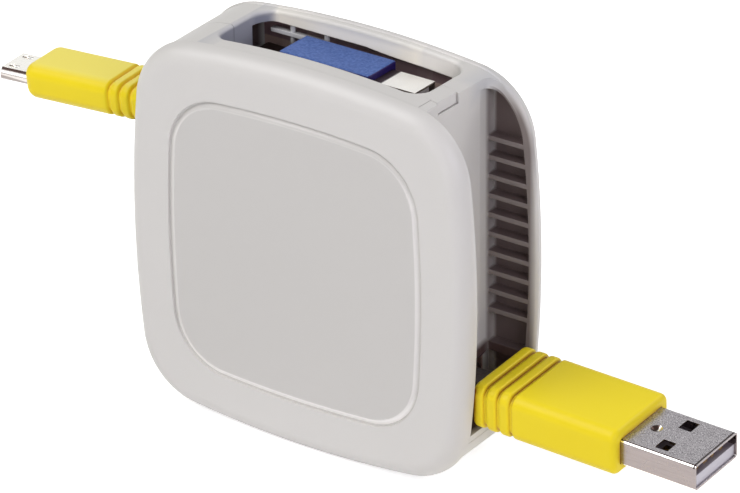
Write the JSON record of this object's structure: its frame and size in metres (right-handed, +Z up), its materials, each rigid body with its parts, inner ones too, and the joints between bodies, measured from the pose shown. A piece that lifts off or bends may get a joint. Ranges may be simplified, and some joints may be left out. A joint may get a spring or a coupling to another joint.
{
  "type": "retractable charging cable",
  "caption": "Square hand-sized reel case with arched sides, a ribbed channel on each side, a plug on a flat cable at each end and a spare adaptor in a compartment at the top.",
  "frame": {"origin": "middle of the flat foot that the case stands on, halfway between its front and rear faces", "axes": "+X along the front face towards the large plug, +Y from the front face to the rear, +Z up"},
  "size_m": [0.1381, 0.024, 0.0663],
  "materials": {
    "case_plastic": "satin warm light grey",
    "plug_plastic": "satin yellow",
    "adaptor_plastic": "fine textured blue",
    "insert_plastic": "satin pale grey",
    "plug_metal": "bead blasted nickel plate",
    "contact_metal": "gold plate",
    "reel_plastic": "satin dark grey",
    "steel": "plain steel",
    "cable_sheath": "satin light grey"
  },
  "bodies": {
    "case": {"front_cover": "case_plastic", "rear_cover": "case_plastic", "adaptor_tray": "case_plastic", "axle": "reel_plastic", "lock_ball": "steel", "screw_1": "steel", "screw_2": "steel", "screw_3": "steel", "screw_4": "steel"},
    "reel": {"spool": "reel_plastic", "spool_cap": "reel_plastic", "cable_coil": "cable_sheath", "spring": "steel"},
    "large_plug": {"usb_overmould": "plug_plastic", "usb_shell": "plug_metal", "usb_tongue": "insert_plastic", "usb_contact_1": "contact_metal", "usb_contact_2": "contact_metal", "usb_contact_3": "contact_metal", "usb_contact_4": "contact_metal", "usb_cable": "cable_sheath"},
    "small_plug": {"micro_overmould": "plug_plastic", "micro_shell": "plug_metal", "micro_tongue": "insert_plastic", "micro_contact_1": "contact_metal", "micro_contact_2": "contact_metal", "micro_contact_3": "contact_metal", "micro_contact_4": "contact_metal", "micro_contact_5": "contact_metal", "micro_latch_1": "plug_metal", "micro_latch_2": "plug_metal", "micro_cable": "cable_sheath"},
    "adaptor": {"adaptor_body": "adaptor_plastic", "adaptor_shell": "plug_metal", "adaptor_tongue": "insert_plastic", "adaptor_socket": "plug_metal", "adaptor_socket_tongue": "insert_plastic"}
  },
  "joints": [
    {"name": "reel_spin", "type": "hinge", "parent": "case", "child": "reel", "pos_m": [0, 0, 0.03314], "axis": [0, -1, 0], "range_deg": [0, 1660], "stiffness_Nm_per_rad": 0.00062, "springref_deg": -1111.54, "deforming": ["spring"]},
    {"name": "large_plug_pull", "type": "slide", "parent": "case", "child": "large_plug", "axis": [1, 0, 0], "range_m": [0, 0.4], "deforming": ["usb_cable"]},
    {"name": "small_plug_pull", "type": "slide", "parent": "case", "child": "small_plug", "axis": [-1, 0, 0], "range_m": [0, 0.4], "deforming": ["micro_cable"]},
    {"name": "adaptor_lift", "type": "slide", "parent": "case", "child": "adaptor", "axis": [0, 0, 1], "range_m": [0, 0.03]}
  ],
  "couplings": [
    {"joint": "large_plug_pull", "follows": "reel_spin", "m_per_rad": 0.0138},
    {"joint": "small_plug_pull", "follows": "reel_spin", "m_per_rad": 0.0138}
  ]
}
